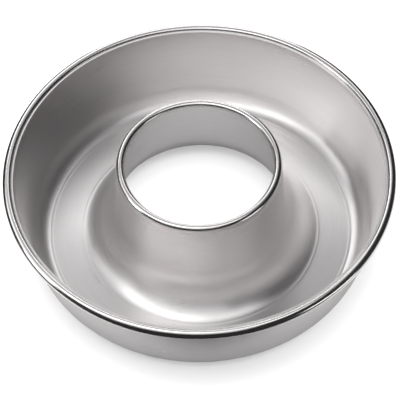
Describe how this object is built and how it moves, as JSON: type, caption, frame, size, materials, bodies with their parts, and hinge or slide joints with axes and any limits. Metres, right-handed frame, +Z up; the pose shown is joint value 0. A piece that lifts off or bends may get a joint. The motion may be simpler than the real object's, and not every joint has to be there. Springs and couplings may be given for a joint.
{
  "type": "ring cake pan",
  "caption": "Round smooth-walled ring cake pan of satin steel with a flared wall, flat floor ring, open centre tube and rolled rims.",
  "frame": {"origin": "centre of the base, on the surface that the pan stands on", "axes": "+Z up along the pan's axis of revolution; X and Y lie in the base plane and are interchangeable"},
  "size_m": [0.24, 0.24, 0.066],
  "materials": {
    "pan_steel": "satin, brushed round the axis",
    "wire_steel": "drawn wire, dull"
  },
  "bodies": {
    "root": {"pan_body": "pan_steel", "outer_rim_wire": "wire_steel", "tube_rim_wire": "wire_steel"}
  },
  "joints": []
}
